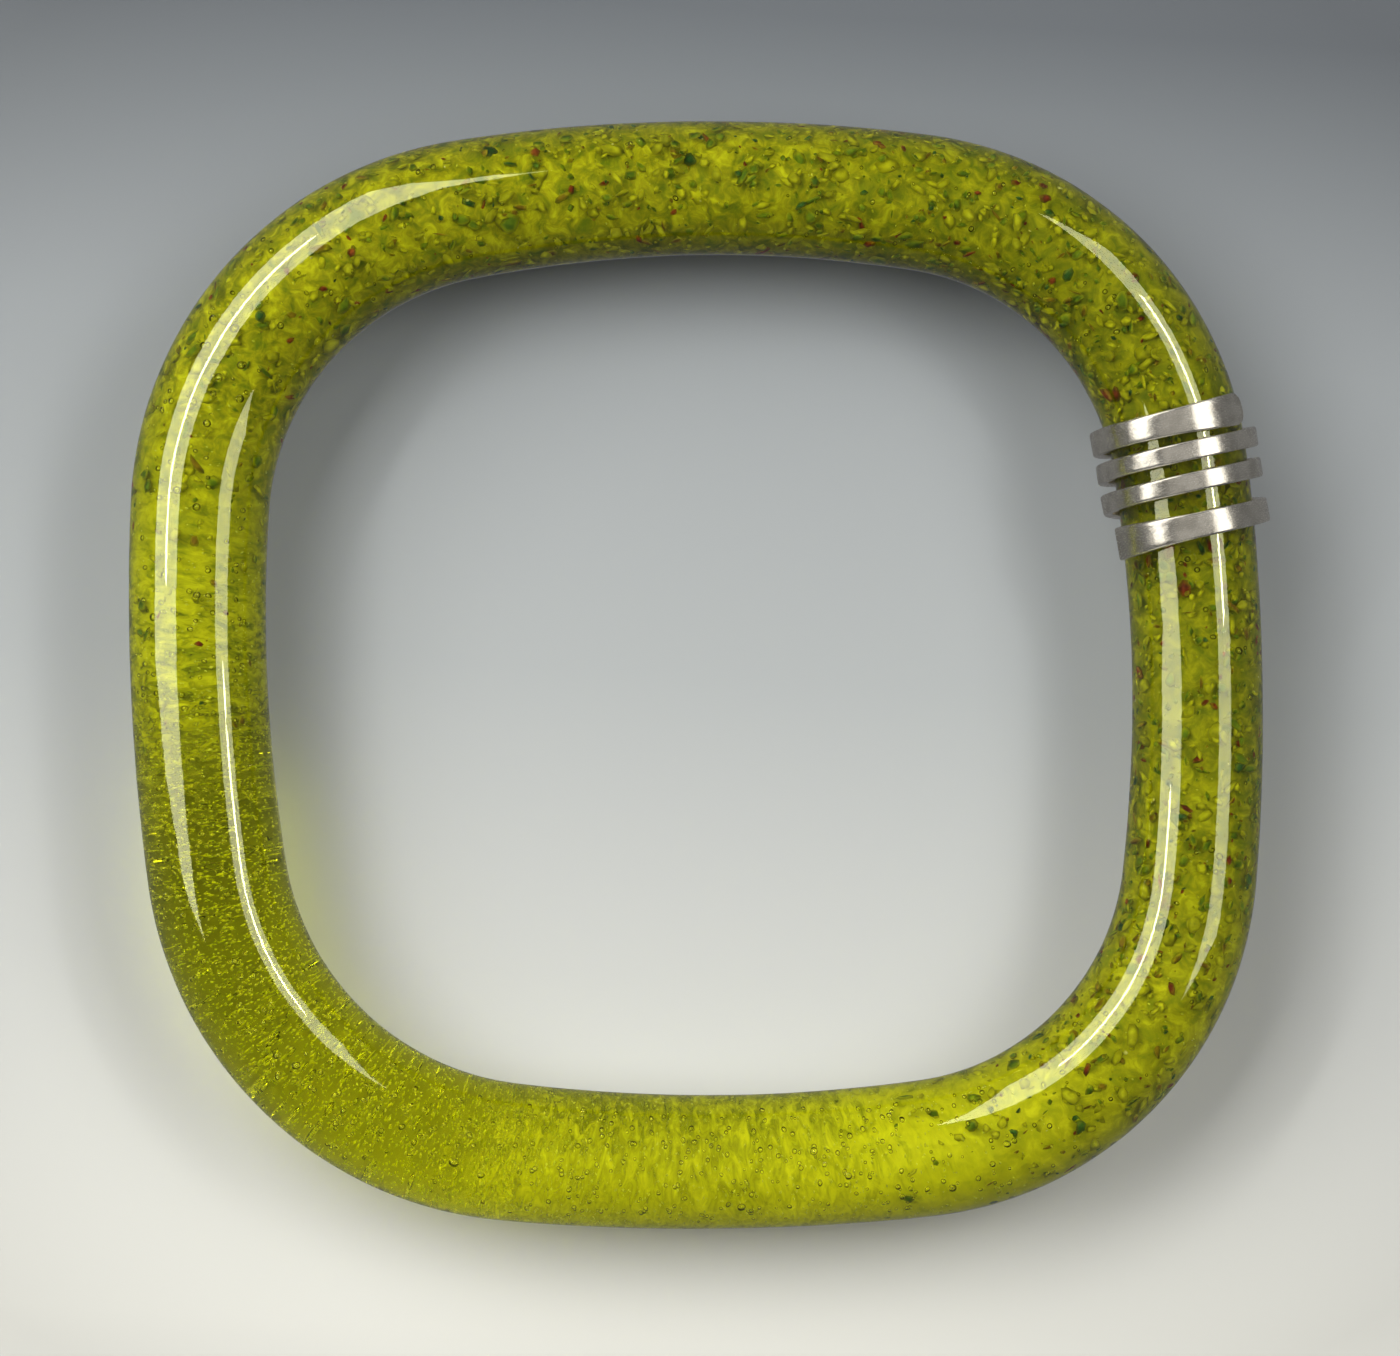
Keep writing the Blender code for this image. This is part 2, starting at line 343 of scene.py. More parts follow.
def scatter(name, shape, count, rng, share, sizes, flatness, depths, lengths, breadths, jitter=0.3,
            sides=(0.0, math.pi), tumble=0.7):
    """One object of count small closed forms inside the rod, as thick along it as share says.

    sides is the range of angles round the section, which counts above and below alike, and jitter
    and tumble are how uneven and how tipped the forms are.
    """
    picked = []
    while len(picked) < count:
        distance, roll = rng.uniform(0, RING_LENGTH), rng.uniform()
        if roll < share(distance):
            picked.append(distance)
    distance = np.array(picked)
    around = rng.uniform(*sides, count) * rng.choice((-1, 1), count)
    depth = np.sqrt(rng.uniform(depths[0] ** 2, depths[1] ** 2, count))
    size = np.exp(rng.uniform(math.log(sizes[0]), math.log(sizes[1]), count)) / 2
    centre = rod_place(distance, around, depth)
    outward = rod_place(distance, around, 1.0) - rod_place(distance, around, 0.0)
    outward /= np.linalg.norm(outward, axis=1)[:, None]
    along = rod_place(distance + NEAR, around, 0.0) - rod_place(distance - NEAR, around, 0.0)
    along /= np.linalg.norm(along, axis=1)[:, None]
    # Each lies roughly flat under the skin and along the rod, turned and tipped at random.
    outward += rng.normal(0, tumble / 2, (count, 3))
    outward /= np.linalg.norm(outward, axis=1)[:, None]
    along += rng.normal(0, tumble, (count, 3))
    across = np.cross(outward, along)
    across /= np.linalg.norm(across, axis=1)[:, None]
    along = np.cross(across, outward)
    grow = np.stack([
        rng.uniform(*lengths, count), rng.uniform(*breadths, count), rng.uniform(*flatness, count)
    ], -1) * size[:, None]
    corners, faces = shape
    form = corners[None] * rng.uniform(1 - jitter, 1 + jitter, (count, len(corners), 1)) * grow[:, None]
    points = centre[:, None] + form[..., :1] * along[:, None] + form[..., 1:2] * across[:, None]
    points += form[..., 2:] * outward[:, None]
    faces = (faces[None] + len(corners) * np.arange(count)[:, None, None]).reshape(-1, 3)
    obj = make_object(name, points.reshape(-1, 3), faces)
    # The rim attribute is 0 in the middle of the flat side and 1 at its edge.
    rim = obj.data.attributes.new("rim", "FLOAT", "POINT")
    rim.data.foreach_set("value", np.tile(np.hypot(corners[:, 0], corners[:, 1]), count))
    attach(obj, "ring")
    return obj


# Crushed glass that has softened in the heat: each chip has its own shade, cloudy towards its middle,
# and its rim has melted into the yellow round it.
crushed, given, made = new_group(
    "crushed_glass",
    [("Vector", "NodeSocketVector", (0, 0, 0)), ("Pale", "NodeSocketColor", (1, 1, 1, 1)),
     ("Middle", "NodeSocketColor", (0.5, 0.5, 0.5, 1)), ("Deep", "NodeSocketColor", (0, 0, 0, 1)),
     ("Melted", "NodeSocketColor", (0.5, 0.5, 0.5, 1)), ("Rim", "NodeSocketFloat", 0.0),
     ("Melting", "NodeSocketFloat", 0.5)],
    [("Color", "NodeSocketColor"), ("Height", "NodeSocketFloat")],
)
lumps = add_node(crushed, "ShaderNodeTexNoise", Vector=given["Vector"], Scale=1100.0, Detail=1.0)
grain = add_node(crushed, "ShaderNodeTexNoise", Vector=given["Vector"], Scale=6000.0, Detail=3.0)
shade = math_node(crushed, "ADD", math_node(crushed, "MULTIPLY", lumps.outputs["Fac"], 0.8),
                  math_node(crushed, "MULTIPLY", grain.outputs["Fac"], 0.2))
low = mix_colour(crushed, remap(crushed, shade, 0.34, 0.5), given["Deep"], given["Middle"])
chip_shade = mix_colour(crushed, remap(crushed, shade, 0.5, 0.66), low, given["Pale"])
melt = math_node(crushed, "MULTIPLY", remap(crushed, given["Rim"], 0.50, 0.894), given["Melting"])
chip_shade = mix_colour(crushed, melt, chip_shade, given["Melted"])
crushed.links.new(chip_shade, made["Color"])
crushed.links.new(grain.outputs["Fac"], made["Height"])


MELTED_YELLOW = (0.30, 0.30, 0.011)
CHIP_ROUGHNESS = (0.35, 0.55)


def chip_material(name, pale, middle, deep, melting):
    """Softened glass of these three shades, whose rim fades this far into the yellow round it."""
    material, tree, place, out = new_material(name)
    rim = add_node(tree, "ShaderNodeAttribute", {"attribute_name": "rim"}).outputs["Fac"]
    look = add_node(tree, "ShaderNodeGroup", {"node_tree": crushed}, Vector=place, Rim=rim, Melting=melting,
                    Pale=(*pale, 1), Middle=(*middle, 1), Deep=(*deep, 1), Melted=(*MELTED_YELLOW, 1))
    bump = add_node(tree, "ShaderNodeBump", Strength=0.4, Distance=0.00004, Height=look.outputs["Height"])
    shader = add_node(
        tree, "ShaderNodeBsdfPrincipled", Base_Color=look.outputs["Color"],
        Roughness=remap(tree, look.outputs["Height"], 0.3, 0.7, *CHIP_ROUGHNESS),
        Specular_IOR_Level=0.1, Normal=bump.outputs[0],
    )
    tree.links.new(shader.outputs[0], out["Surface"])
    return material


CHIP_FLATNESS = (0.2, 0.6)
CHIPS = (
    # name, count, sizes, lengths, breadths, depths, pale, middle, deep, melting
    ("yellow_chips", 4600, (0.00025, 0.0011), (0.5, 1.9), (0.4, 1.3), (0.5, 0.88),
     (0.52, 0.52, 0.022), (0.39, 0.39, 0.012), (0.24, 0.245, 0.008), 0.9),
    ("green_chips", 3100, (0.00025, 0.0010), (0.5, 1.9), (0.4, 1.3), (0.5, 0.88),
     (0.18, 0.25, 0.010), (0.10, 0.165, 0.010), (0.045, 0.095, 0.012), 0.7),
    ("teal_chips", 360, (0.00028, 0.0010), (0.4, 1.7), (0.4, 1.4), (0.5, 0.88),
     (0.04, 0.12, 0.045), (0.020, 0.075, 0.035), (0.010, 0.045, 0.028), 0.3),
    ("brown_chips", 1600, (0.00022, 0.0009), (0.5, 2.1), (0.3, 1.0), (0.5, 0.88),
     (0.25, 0.17, 0.012), (0.17, 0.105, 0.010), (0.11, 0.060, 0.008), 0.7),
    ("red_chips", 600, (0.00025, 0.0010), (0.5, 2.0), (0.35, 1.1), (0.5, 0.88),
     (0.23, 0.05, 0.014), (0.16, 0.020, 0.014), (0.09, 0.014, 0.014), 0.3),
    # pale specks just under the skin: a painted glint of light on bubbles, not chips of white glass
    ("painted_glint_specks", 90, (0.00012, 0.0003), (0.5, 1.6), (0.4, 1.2), (0.80, 0.92),
     (0.75, 0.74, 0.50), (0.60, 0.58, 0.30), (0.40, 0.39, 0.15), 0.5),
)
rng = np.random.default_rng(11)
for name, count, sizes, lengths, breadths, depths, pale, middle, deep, melting in CHIPS:
    share = chip_share if name in ("yellow_chips", "painted_glint_specks") else dark_share
    chips = scatter(name, splinter, count, rng, share, sizes, CHIP_FLATNESS, depths, lengths=lengths,
                    breadths=breadths)
    chips.data.materials.append(chip_material(name, pale, middle, deep, melting))

# ---------------------------------------------------------------------------------------------
# The yellow core: a cloud of opaque yellow glass through the middle of the rod, from its first
# gather. It is solid where the chips lie thick. Along the left side and the near side it was drawn
# out into soft wisps that lie across the rod.
# ---------------------------------------------------------------------------------------------
CORE_DEPTH = 0.72  # its share of the rod's radius
CORE_LUMPS = 0.05
CORE_SIDES = 28
CORE_STATIONS = 360
lump = np.random.default_rng(3).uniform(-CORE_LUMPS, CORE_LUMPS, (CORE_STATIONS, CORE_SIDES))
lump = (lump + np.roll(lump, 1, 0) + np.roll(lump, 1, 1) + np.roll(lump, 1, (0, 1))) / 2
row, column = np.divmod(np.arange(CORE_STATIONS * CORE_SIDES), CORE_SIDES)
points = rod_place(RING_LENGTH * row / CORE_STATIONS, math.tau * column / CORE_SIDES,
                   CORE_DEPTH * (1 + lump.ravel()))
next_row, next_column = (row + 1) % CORE_STATIONS, (column + 1) % CORE_SIDES
faces = np.stack([row * CORE_SIDES + next_column, row * CORE_SIDES + column,
                  next_row * CORE_SIDES + column, next_row * CORE_SIDES + next_column], -1)
core = make_object("yellow_core", points, faces)
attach(core, "ring")


def shade_ramp(tree, value, stops):
    """A colour ramp of these (position, colour or level) stops."""
    node = add_node(tree, "ShaderNodeValToRGB", i0=value)
    elements = node.color_ramp.elements
    for _ in stops[2:]:
        elements.new(0.5)
    for element, (at, shade) in zip(elements, stops):
        element.position = at
        element.color = (*shade, 1) if isinstance(shade, tuple) else (shade, shade, shade, 1)
    return node.outputs[0]


RING_RADIUS = 0.039  # about the middle of the rod, for the length of a turn
cloudy, tree, place, out = new_material("cloudy_yellow")
# Place round the ring, from 0 to 1 anticlockwise from the near left corner, and out from its middle.
turned = add_node(tree, "ShaderNodeMapping", Vector=place, Rotation=(0.0, 0.0, math.radians(-45)))
parts = add_node(tree, "ShaderNodeSeparateXYZ", Vector=turned.outputs[0])
turn = math_node(tree, "ARCTAN2", parts.outputs["Y"], parts.outputs["X"])
lap = remap(tree, turn, -math.pi, math.pi)
out_from = add_node(tree, "ShaderNodeVectorMath", {"operation": "LENGTH"}, i0=place).outputs["Value"]
# The rod's surface laid out straight, and squeezed across it, so the wisps are drawn out that way.
unrolled = add_node(tree, "ShaderNodeCombineXYZ", X=math_node(tree, "MULTIPLY", turn, RING_RADIUS),
                    Y=math_node(tree, "MULTIPLY", out_from, 0.40),
                    Z=math_node(tree, "MULTIPLY", parts.outputs["Z"], 0.6)).outputs[0]
# How much of the rod the yellow covers, lap by lap.
COVER = ((0.0, 0.0), (0.04, 0.15), (0.075, 0.50), (0.125, 0.62), (0.17, 0.70), (0.205, 0.88),
         (0.235, 1.0), (0.79, 1.0), (0.84, 0.85), (0.875, 0.68), (0.91, 0.32), (0.95, 0.05))
cover = shade_ramp(tree, lap, COVER)
wisps = add_node(tree, "ShaderNodeTexNoise", Vector=unrolled, Scale=1500.0, Detail=5.0, Roughness=0.65,
                 Distortion=0.8)
wisp = remap(tree, wisps.outputs["Fac"], 0.3, 0.7)
alpha = remap(tree, math_node(tree, "ADD", math_node(tree, "MULTIPLY", wisp, 0.5),
                              math_node(tree, "MULTIPLY", cover, 1.3)), 0.55, 1.25)
crumbs = add_node(tree, "ShaderNodeTexNoise", Vector=place, Scale=900.0, Detail=5.0, Roughness=0.65,
                  Distortion=0.7)
crumb_shade = shade_ramp(tree, crumbs.outputs["Fac"], (
    (0.32, (0.11, 0.155, 0.008)), (0.42, (0.19, 0.21, 0.008)), (0.50, (0.28, 0.275, 0.010)),
    (0.58, (0.39, 0.385, 0.014)), (0.68, (0.52, 0.52, 0.022))))
wisp_shade = shade_ramp(tree, wisps.outputs["Fac"], (
    (0.32, (0.13, 0.18, 0.008)), (0.43, (0.25, 0.28, 0.009)), (0.52, (0.37, 0.375, 0.012)),
    (0.64, (0.50, 0.50, 0.020))))
# Painted light: the yellow is mixed towards pale where light focused through the rod falls, most in the
# outer half of the near side. The yellow is also a little greener on the right side.
PAINTED_LIGHT_YELLOW = (0.74, 0.74, 0.03)
GREEN_YELLOW = (0.10, 0.12, 0.007)
painted_light_share = shade_ramp(tree, lap, ((0.0, 0.6), (0.16, 0.6), (0.21, 0.28), (0.26, 0.10), (0.35, 0.0),
                                 (0.8, 0.0), (1.0, 0.2)))
painted_light_share = math_node(tree, "MULTIPLY", painted_light_share, remap(tree, out_from, 0.0330, 0.0390, 0.35, 1.6))
thick = remap(tree, cover, 0.8, 1.0)
darker = shade_ramp(tree, lap, ((0.28, 0.0), (0.35, 0.35), (0.50, 0.35), (0.62, 0.0)))
crumb_shade = mix_colour(tree, darker, crumb_shade, GREEN_YELLOW)
core_shade = mix_colour(tree, thick, wisp_shade, crumb_shade)
core_shade = mix_colour(tree, painted_light_share, core_shade, PAINTED_LIGHT_YELLOW)
bump = add_node(tree, "ShaderNodeBump", Strength=0.3, Distance=0.00008, Height=crumbs.outputs["Fac"])
shader = add_node(tree, "ShaderNodeBsdfPrincipled", Base_Color=core_shade,
                  Roughness=remap(tree, wisps.outputs["Fac"], 0.3, 0.7, 0.4, 0.7), Specular_IOR_Level=0.1,
                  Alpha=alpha, Normal=bump.outputs[0])
tree.links.new(shader.outputs[0], out["Surface"])
core.data.materials.append(cloudy)

# ---------------------------------------------------------------------------------------------
# The bubbles: air caught in the glass when it was gathered. The clear near side and left side are
# full of fine seed, which only glints, and larger bubbles and blisters lie just under the skin.
# ---------------------------------------------------------------------------------------------
def seed_share(distance):
    """How thickly the seed lies, this far along the rod, from 0 to 1."""
    return np.interp(angle_seen(distance), (0, 140, 165, 185, 290, 312, 360),
                     (0.05, 0.08, 0.35, 1, 1, 0.2, 0.05))


def round_share(distance):
    """The round bubbles lie where the seed does, with a few everywhere else."""
    return 0.05 + 0.95 * seed_share(distance)


def blister_share(distance):
    """The largest bubbles lie in a row along the left side and its far corner."""
    return np.interp(chip_share(distance), (0, 0.1, 0.6, 0.9, 1), (0.3, 1, 1, 0.08, 0.04))


# The wall of a hollow is the same glass, as smooth as the outer skin.
air, tree, place, out = new_material("air_in_glass")
tree.links.new(glass_skin(tree, place), out["Surface"])

# The fine seed is drawn as opaque specks, and their pale yellow is a painted glint of the tiny bubbles.
SEED_GLINT_PALE = (0.68, 0.68, 0.09)
SEED_GLINT_DEEP = (0.38, 0.40, 0.025)
seed_look, tree, place, out = new_material("seed_glints")
grain = add_node(tree, "ShaderNodeTexNoise", Vector=place, Scale=2500.0, Detail=2.0)
tint = mix_colour(tree, remap(tree, grain.outputs["Fac"], 0.35, 0.65), SEED_GLINT_PALE, SEED_GLINT_DEEP)
shader = add_node(tree, "ShaderNodeBsdfPrincipled", Base_Color=tint,
                  Roughness=remap(tree, grain.outputs["Fac"], 0.3, 0.7, 0.2, 0.5))
tree.links.new(shader.outputs[0], out["Surface"])

seeds = scatter("seed_bubbles", speck, 15000, rng, seed_share, (0.00010, 0.00024), (0.6, 1.0), (0.2, 0.88),
                jitter=0.0, lengths=(0.6, 1.1), breadths=(0.8, 2.0), tumble=0.3)
seeds.data.materials.append(seed_look)
bubbles = scatter("round_bubbles", ball, 2000, rng, round_share, (0.00022, 0.00045), (0.9, 1.1),
                  (0.70, 0.95), jitter=0.0, lengths=(0.85, 1.05), breadths=(0.9, 1.3),
                  sides=(math.radians(30), math.radians(150)))
blisters = scatter("blisters", ball, 80, rng, blister_share, (0.00045, 0.00070), (0.8, 1.0),
                   (0.86, 0.90), jitter=0.0, lengths=(0.9, 1.2), breadths=(0.9, 1.1),
                   sides=(math.radians(48), math.radians(112)))
# Both are hollows in the glass, so their faces look inwards.
for hollows in (bubbles, blisters):
    hollows.data.flip_normals()
    hollows.data.materials.append(air)

# ---------------------------------------------------------------------------------------------
# The silver coil: one length of round silver wire, hammered flat, wound three and a third turns
# round the finished rod and left loose. Its lower end is cut square and its upper end is spread to a
# rounded paddle. The hammer left small flats, and the flats were brushed along the wire.
# ---------------------------------------------------------------------------------------------
joint = frame["joints"][0]
coil_middle = Vector(joint["pos_m"])
coil_direction = Vector(joint["axis"]).normalized()
# Turns are counted from where the lowest whole strand crosses the top of the rod.
WIRE_THICKNESS = 0.0008
WIRE_WIDTH = 0.0014
WIRE_SWELL = 0.0005  # the wire widens by this over its last turn and a bit at each end
WIRE_SWELL_TURNS = 1.1
END_FLARE = 0.0005  # and by this right at the end
END_FLARE_TURNS = 0.2
EDGE_ROUNDING = 0.00016
EDGE_STEPS = 4
FLAT_SHARES = (0.6, 0.3, 0.0, -0.3, -0.6)
TAB_START = -0.19
PADDLE_END = 3.15
PADDLE_ROUNDING = 0.0009
PADDLE_STEPS = (1, 0.85, 0.7, 0.55, 0.4, 0.28, 0.18, 0.1, 0.05, 0.01, 0)
PADDLE_TIP = 0.35  # the share of the width that is left at the very end
TOP_CLIMB = 0.0010  # each strand climbs this far along the rod in the half turn over its top
TOP_REACH = 0.25  # and it climbs evenly for this much of a turn before and after
STRAND_GAPS = (0.0015, 0.00085, 0.00058)
BORE_RADIUS = 0.0052622
STATIONS_PER_TURN = 160
NEAR_TURN = 0.01
BLOW_SPACING = (0.0012, 0.0028)
BLOW_SINK = 0.00008
BLOW_TIP = 0.000035


def smooth(share):
    """From 0 to 1 with a gentle start and end."""
    share = min(max(share, 0.0), 1.0)
    return share * share * (3.0 - 2.0 * share)


def wire_width(turn):
    """The wire's width this many turns along it."""
    to_end = min(turn - TAB_START, PADDLE_END - turn)
    return (WIRE_WIDTH + WIRE_SWELL * smooth(1 - to_end / WIRE_SWELL_TURNS)
            + END_FLARE * smooth(1 - to_end / END_FLARE_TURNS))


def crossing(index):
    """How far along the rod this strand crosses its top."""
    return sum((wire_width(i) + wire_width(i + 1)) / 2 + STRAND_GAPS[i] for i in range(index))


def wire_climb(turn):
    """How far along the rod the wire's middle is, this many turns along it."""
    last = len(STRAND_GAPS)
    index = min(max(round(turn), 0), last)
    slope = 2 * TOP_CLIMB
    if abs(turn - index) <= TOP_REACH or not 0 <= turn <= last:
        return crossing(index) + slope * (turn - index)
    below = math.floor(turn)
    start = crossing(below) + slope * TOP_REACH
    end = crossing(below + 1) - slope * TOP_REACH
    share = (turn - below - TOP_REACH) / (1 - 2 * TOP_REACH)
    return start + (end - start) * (0.5 * share + 0.5 * smooth(share))


def paddle_share(back):
    """The share of the wire's width that is left this far back from the paddle's end."""
    if back >= PADDLE_ROUNDING:
        return 1.0
    inward = 1.0 - back / PADDLE_ROUNDING
    return PADDLE_TIP + (1.0 - PADDLE_TIP) * math.sqrt(1.0 - inward * inward)


def wire_section(width, thick):
    """The wire's cut face with worn round edges, as (along the rod, off the bore) pairs."""
    half, edge = width / 2, EDGE_ROUNDING
    section = []
    for sign_u, sign_v, first in ((1, 0, -90), (1, 1, 0), (-1, 1, 90), (-1, 0, 180)):
        for step in range(EDGE_STEPS):
            angle = math.radians(first + 90 / (EDGE_STEPS - 1) * step)
            v = (thick - edge if sign_v else edge) + edge * math.sin(angle)
            section.append((sign_u * (half - edge) + edge * math.cos(angle), v))
        if sign_v == 1 and sign_u == 1:
            section += [(half * share, thick) for share in FLAT_SHARES]
    return section


length = math.tau * (BORE_RADIUS + WIRE_THICKNESS / 2)
lower = wire_climb(TAB_START) - wire_width(TAB_START) / 2
upper = wire_climb(PADDLE_END) + wire_width(PADDLE_END) / 2
count = round((PADDLE_END - TAB_START) * STATIONS_PER_TURN)
turns = [TAB_START + (PADDLE_END - TAB_START) * i / count for i in range(count)]
turns = [turn for turn in turns if (PADDLE_END - turn) * length > PADDLE_ROUNDING]
turns += [PADDLE_END - share * PADDLE_ROUNDING / length for share in PADDLE_STEPS]
# The hammer's flats: each blow sank the wire a little and left it tipped one way or the other.
hammer = np.random.default_rng(5)
blows = [TAB_START]
while blows[-1] < PADDLE_END:
    blows.append(blows[-1] + hammer.uniform(*BLOW_SPACING) / length)
sink = hammer.uniform(0.0, BLOW_SINK, len(blows))
tip = hammer.uniform(-BLOW_TIP, BLOW_TIP, len(blows))
rings = []
for turn in turns:
    angle = math.radians(90) + math.tau * turn
    outward = Vector((math.cos(angle), math.sin(angle), 0))
    rise = (wire_climb(turn + NEAR_TURN) - wire_climb(turn - NEAR_TURN)) / (2 * NEAR_TURN * length)
    lean = math.atan(rise)
    aside = Vector((-math.sin(angle), math.cos(angle), 0))
    across = Vector((0, 0, 1)) * math.cos(lean) - aside * math.sin(lean)
    width = wire_width(turn) * paddle_share((PADDLE_END - turn) * length)
    base = outward * BORE_RADIUS + Vector((0, 0, wire_climb(turn) - (lower + upper) / 2))
    low = float(np.interp(turn, blows, sink))
    lean_out = float(np.interp(turn, blows, tip))
    row = []
    for u, v in wire_section(width, WIRE_THICKNESS):
        top = v / WIRE_THICKNESS
        drop = top * (low + abs(lean_out) - lean_out * 2 * u / width)
        row.append(base + across * u + outward * (v - drop))
    rings.append(row)
sides = len(rings[0])
points = np.array([[tuple(p) for p in row] for row in rings]).reshape(-1, 3)
row, column = np.divmod(np.arange((len(rings) - 1) * sides), sides)
after = (column + 1) % sides
faces = np.stack([row * sides + column, row * sides + after,
                  (row + 1) * sides + after, (row + 1) * sides + column], -1)
ends = [list(range(sides)), list(range((len(rings) - 1) * sides, len(rings) * sides))]
coil = make_object("silver_wire", points, faces.tolist() + ends)
mesh = coil.data
mesh.validate()
bm = bmesh.new()
bm.from_mesh(mesh)
bmesh.ops.recalc_face_normals(bm, faces=bm.faces)
# The strip coordinates run along the wire and across it, in metres, for the brush marks.
uv = bm.loops.layers.uv.new("strip")
for face in bm.faces:
    for loop in face.loops:
        at, col = divmod(loop.vert.index, sides)
        u, v = wire_section(wire_width(turns[at]), WIRE_THICKNESS)[col]
        loop[uv].uv = (turns[at] * length, u)
bm.to_mesh(mesh)
bm.free()
side = Vector((0, 0, 1)).cross(coil_direction)
placing = Matrix((side, Vector((0, 0, 1)), coil_direction)).transposed().to_4x4()
mesh.transform(Matrix.Translation(coil_middle) @ placing)
mesh.shade_smooth()
mesh.set_sharp_from_angle(angle=math.radians(35))

SILVER_CLEAN = (0.88, 0.84, 0.735)
SILVER_DULL = (0.63, 0.60, 0.51)
SILVER_RUBBED = (0.95, 0.89, 0.81)
silver, tree, place, out = new_material("planished_silver")
strip = add_node(tree, "ShaderNodeUVMap", {"uv_map": "strip"}).outputs[0]
drawn = add_node(tree, "ShaderNodeMapping", Vector=strip, Scale=(1.0, 14.0, 1.0))
brush = add_node(tree, "ShaderNodeTexNoise", Vector=drawn.outputs[0], Scale=2600.0, Detail=4.0,
                 Roughness=0.65)
cloud = add_node(tree, "ShaderNodeTexNoise", Vector=place, Scale=900.0, Detail=3.0)
worn = add_node(tree, "ShaderNodeGroup", {"node_tree": marks}, Vector=place, Scale=1500.0, Amount=0.7)
dull = mix_colour(tree, remap(tree, cloud.outputs["Fac"], 0.4, 0.68), SILVER_CLEAN, SILVER_DULL)
rub = remap(tree, brush.outputs["Fac"], 0.3, 0.7)
metal_colour = mix_colour(tree, math_node(tree, "MULTIPLY", rub, 0.25), dull, SILVER_RUBBED)
rough = math_node(tree, "ADD", remap(tree, brush.outputs["Fac"], 0.3, 0.7, 0.16, 0.30),
                  math_node(tree, "MULTIPLY", worn.outputs["Mask"], 0.15))
dents = add_node(tree, "ShaderNodeBump", Strength=0.4, Distance=0.00006, Height=cloud.outputs["Fac"])
brushed = add_node(tree, "ShaderNodeBump", Strength=0.25, Distance=0.000008,
                   Height=brush.outputs["Fac"], Normal=dents.outputs[0])
shader = add_node(tree, "ShaderNodeBsdfPrincipled", Base_Color=metal_colour, Metallic=1.0,
                  Roughness=rough, Normal=brushed.outputs[0])
tree.links.new(shader.outputs[0], out["Surface"])
mesh.materials.append(silver)
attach(coil, "coil")
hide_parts("silver_coil")

# ---------------------------------------------------------------------------------------------
# The table: a matt paper sheet, grey at the far side and near-white at the near side. The bangle
# rests on it with the coil's lowest point and the opposite side of the ring.
# ---------------------------------------------------------------------------------------------
FLOOR_HALF = 1.5
FLOOR_GAP = 0.00002
LEAST_REACH = 0.02  # the ring's contact is at least this far from the coil's
coil_low = min((v.co for v in mesh.vertices), key=lambda co: co.z).copy()
lean_to = Vector((coil_low.x, coil_low.y, 0)).normalized()
ring_points = [v.co for v in glass_rod.data.vertices if (coil_low - v.co).dot(lean_to) > LEAST_REACH]
slope = min((co.z - coil_low.z) / (coil_low - co).dot(lean_to) for co in ring_points)
floor_points = []
for x, y in ((-1, -1), (1, -1), (1, 1), (-1, 1)):
    spot = Vector((x * FLOOR_HALF, y * FLOOR_HALF, 0))
    floor_points.append((spot.x, spot.y, coil_low.z - FLOOR_GAP + slope * (coil_low - spot).dot(lean_to)))
floor = make_object("table_sheet", np.array(floor_points), np.array([(0, 1, 2, 3)]), smooth=False)

SHEET_SHADES = (
    (0.0, (0.483, 0.477, 0.445)), (0.27, (0.330, 0.333, 0.324)), (0.5, (0.235, 0.245, 0.248)),
    (0.75, (0.178, 0.189, 0.197)), (1.0, (0.077, 0.084, 0.094)))
SHEET_FADE = (-0.05, 0.05)  # the shades run from here to here across the table
SHEET_ASLANT = 0.06  # and are turned this much to the right
OVAL_ACROSS = 0.6
FULL_DIM_AT = 0.000015  # the square of the squared distance from the ring's middle
DIMMEST = 0.74
sheet, tree, place, out = new_material("sheet_paper")
parts = add_node(tree, "ShaderNodeSeparateXYZ", Vector=place)
aslant = math_node(tree, "ADD", parts.outputs["Y"],
                   math_node(tree, "MULTIPLY", parts.outputs["X"], SHEET_ASLANT))
fibre = add_node(tree, "ShaderNodeTexNoise", Vector=place, Scale=500.0, Detail=4.0)
sheet_shade = shade_ramp(tree, remap(tree, aslant, *SHEET_FADE), SHEET_SHADES)
# Painted shade: the sheet darkens gently outwards from the ring's middle, a painted falloff of the light
# towards the corners.
squares = [math_node(tree, "MULTIPLY", parts.outputs[axis], parts.outputs[axis]) for axis in "XY"]
off = math_node(tree, "ADD", math_node(tree, "MULTIPLY", squares[0], OVAL_ACROSS), squares[1])
painted_falloff = remap(tree, math_node(tree, "MULTIPLY", off, off), 0.0, FULL_DIM_AT, 1.0, DIMMEST)
sheet_with_falloff = add_node(tree, "ShaderNodeVectorMath", {"operation": "SCALE"}, i0=sheet_shade, Scale=painted_falloff)
bump = add_node(tree, "ShaderNodeBump", Strength=0.05, Distance=0.00005, Height=fibre.outputs["Fac"])
shader = add_node(tree, "ShaderNodeBsdfPrincipled", Base_Color=sheet_with_falloff.outputs[0], Roughness=0.6,
                  Specular_IOR_Level=0.2, Normal=bump.outputs[0])
tree.links.new(shader.outputs[0], out["Surface"])
floor.data.materials.append(sheet)
floor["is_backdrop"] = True
floor.visible_glossy = False  # a mirror image of the sheet would grey the glass's edges

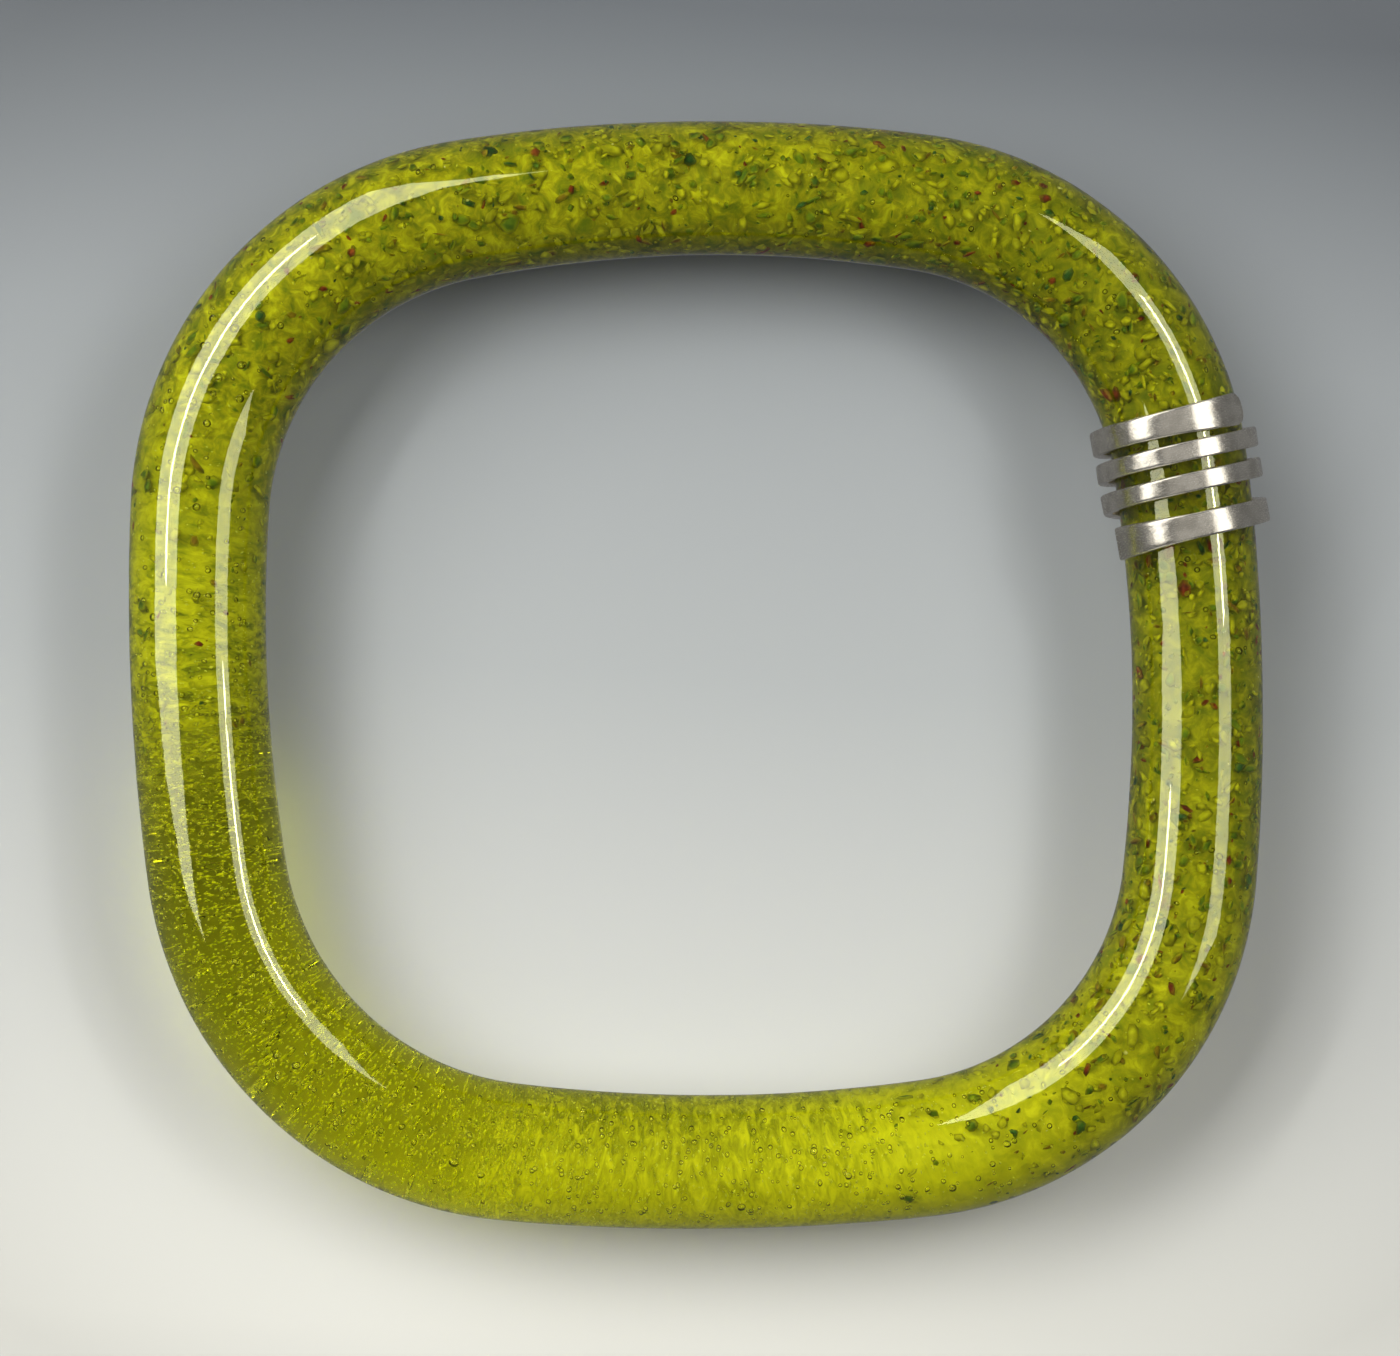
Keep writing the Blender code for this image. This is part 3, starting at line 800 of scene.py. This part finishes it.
# ---------------------------------------------------------------------------------------------
# The light: a dim studio round the table, and two long strip softboxes, left and right, each with a
# brighter tube in it. The silver has five dimmer lamps of its own, so that it isn't burnt out.
# ---------------------------------------------------------------------------------------------
SKY = ((0.0, 0.17), (0.20, 0.12), (0.55, 0.09), (0.80, 0.09), (1.0, 0.10))  # height and level
SKY_TINT = (0.97, 0.98, 1.0)
world = bpy.data.worlds.new("studio")
bpy.context.scene.world = world
world.use_nodes = True
tree = world.node_tree
direction = tree.nodes.new("ShaderNodeTexCoord").outputs["Generated"]
heading = add_node(tree, "ShaderNodeSeparateXYZ", Vector=direction)
stops = [(at, tuple(level * share for share in SKY_TINT)) for at, level in SKY]
tree.links.new(shade_ramp(tree, heading.outputs["Z"], stops), tree.nodes["Background"].inputs["Color"])
tree.nodes["Background"].inputs["Strength"].default_value = 1.0


def softbox(name, place, length, width, level, colour=(1.0, 1.0, 0.97)):
    """A rectangular lamp at place, facing the ring, with its long side level and this radiance."""
    data = bpy.data.lights.new(name, "AREA")
    data.shape = "RECTANGLE"
    data.size, data.size_y = length, width
    data.energy = level * math.pi * length * width
    data.color = colour
    lamp = bpy.data.objects.new(name, data)
    lamp.location = place
    lamp.rotation_euler = (-Vector(place)).to_track_quat("-Z", "Y").to_euler()
    lamp.visible_camera = False
    bpy.context.scene.collection.objects.link(lamp)
    return lamp


glass_lamps = [
    softbox("left_strip", (-0.42, 0.26, 0.45), 0.85, 0.48, 7.4),
    softbox("right_strip", (0.42, 0.12, 0.45), 0.66, 0.25, 6.4),
    softbox("left_tube", (-0.415, 0.22, 0.44), 0.46, 0.036, 30.0),
    softbox("right_tube", (0.415, 0.155, 0.44), 0.28, 0.036, 30.0),
]
WARM = (1.0, 0.97, 0.92)
silver_lamps = [
    softbox("left_glow", (-0.42, 0.26, 0.45), 0.85, 0.34, 2.2, WARM),
    softbox("right_glow", (0.42, 0.12, 0.45), 0.66, 0.28, 2.2, WARM),
    softbox("near_glow", (-0.10, -0.50, 0.22), 0.60, 0.30, 0.6, (1.0, 0.97, 0.93)),
    softbox("far_glow", (0.10, 0.50, 0.22), 0.60, 0.30, 0.6, (1.0, 0.97, 0.93)),
    softbox("ceiling_glow", (0.0, 0.0, 0.60), 0.50, 0.50, 0.28, (1.0, 0.96, 0.91)),
]
only_silver = bpy.data.collections.new("only_silver")
only_silver.objects.link(coil)
not_silver = bpy.data.collections.new("not_silver")
not_silver.objects.link(coil)
not_silver.collection_objects[0].light_linking.link_state = "EXCLUDE"
for lamp in silver_lamps:
    lamp.light_linking.receiver_collection = only_silver
for lamp in glass_lamps:
    lamp.light_linking.receiver_collection = not_silver

# ---------------------------------------------------------------------------------------------
# The camera: 300 mm above the bangle and looking straight down, with the ring's middle almost in the
# middle of the view.
# ---------------------------------------------------------------------------------------------
CAMERA_PLACE = (0.00029, -0.00022, 0.300)
camera_data = bpy.data.cameras.new("camera")
camera_data.lens = 105.0
camera_data.sensor_width = 36.0
camera_data.clip_start = 0.01
camera = bpy.data.objects.new("camera", camera_data)
camera.location = CAMERA_PLACE
bpy.context.scene.collection.objects.link(camera)
bpy.context.scene.camera = camera
bpy.context.scene.view_settings.view_transform = "Standard"

sizes = {"cad_box": [list(c) for c in cad_box], "visual_box": [list(c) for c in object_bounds()]}
